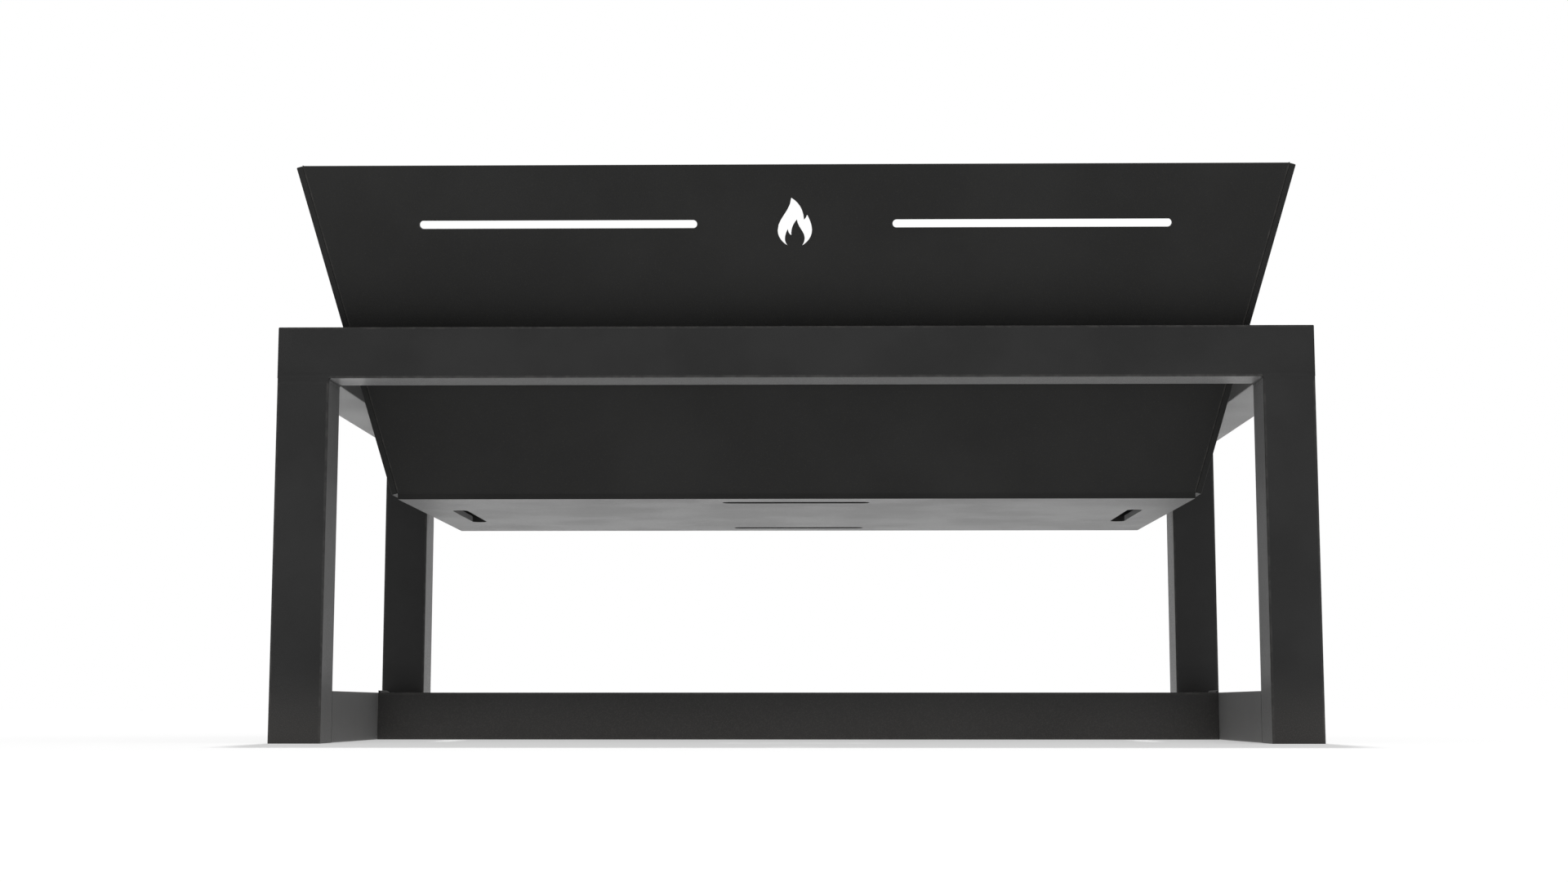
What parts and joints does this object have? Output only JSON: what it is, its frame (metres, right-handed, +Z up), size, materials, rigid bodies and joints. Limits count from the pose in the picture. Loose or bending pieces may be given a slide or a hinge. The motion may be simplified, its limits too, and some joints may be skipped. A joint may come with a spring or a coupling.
{
  "type": "fire pit",
  "caption": "Rectangular steel fire pit: a bowl of leaning plates with slots and a flame cut-out, a lift-out fire grate inside, carried in a low square-tube frame.",
  "frame": {"origin": "on the ground, under the middle of the frame", "axes": "+X along the long side, -Y the front, +Z up"},
  "size_m": [1, 0.6, 0.565],
  "materials": {
    "frame_coat": "black fine-textured powder coat",
    "bowl_coat": "black fine-textured powder coat",
    "grate_steel": "hot-rolled bar with dark mill scale"
  },
  "bodies": {
    "frame": {"leg_front_left": "frame_coat", "leg_front_right": "frame_coat", "leg_rear_left": "frame_coat", "leg_rear_right": "frame_coat", "leg_end_plate_front_left": "frame_coat", "leg_end_plate_front_right": "frame_coat", "leg_end_plate_rear_left": "frame_coat", "leg_end_plate_rear_right": "frame_coat", "top_rail_front": "frame_coat", "top_rail_rear": "frame_coat", "top_rail_left": "frame_coat", "top_rail_right": "frame_coat", "lower_rail_left": "frame_coat", "lower_rail_right": "frame_coat", "lower_rail_cross": "frame_coat"},
    "bowl": {"bottom_plate": "bowl_coat", "bowl_wall_front": "bowl_coat", "bowl_wall_rear": "bowl_coat", "bowl_wall_left": "bowl_coat", "bowl_wall_right": "bowl_coat", "bowl_lug_front_left": "bowl_coat", "bowl_lug_front_right": "bowl_coat", "bowl_lug_rear_left": "bowl_coat", "bowl_lug_rear_right": "bowl_coat"},
    "grate": {"grate_rim_front": "grate_steel", "grate_rim_rear": "grate_steel", "grate_rim_left": "grate_steel", "grate_rim_right": "grate_steel", "grate_bearer_front": "grate_steel", "grate_bearer_rear": "grate_steel", "grate_rod_01": "grate_steel", "grate_rod_02": "grate_steel", "grate_rod_03": "grate_steel", "grate_rod_04": "grate_steel", "grate_rod_05": "grate_steel", "grate_rod_06": "grate_steel", "grate_rod_07": "grate_steel", "grate_rod_08": "grate_steel", "grate_rod_09": "grate_steel", "grate_rod_10": "grate_steel", "grate_rod_11": "grate_steel", "grate_rod_12": "grate_steel", "grate_rod_13": "grate_steel", "grate_rod_14": "grate_steel", "grate_rod_15": "grate_steel", "grate_rod_16": "grate_steel", "grate_rod_17": "grate_steel", "grate_rod_18": "grate_steel", "grate_rod_19": "grate_steel", "grate_loop_left": "grate_steel", "grate_loop_right": "grate_steel"}
  },
  "joints": [
    {"name": "bowl_lift", "type": "slide", "parent": "frame", "child": "bowl", "axis": [0, 0, 1], "range_m": [0, 0.25]},
    {"name": "grate_lift", "type": "slide", "parent": "bowl", "child": "grate", "axis": [0, 0, 1], "range_m": [0, 0.3]}
  ]
}
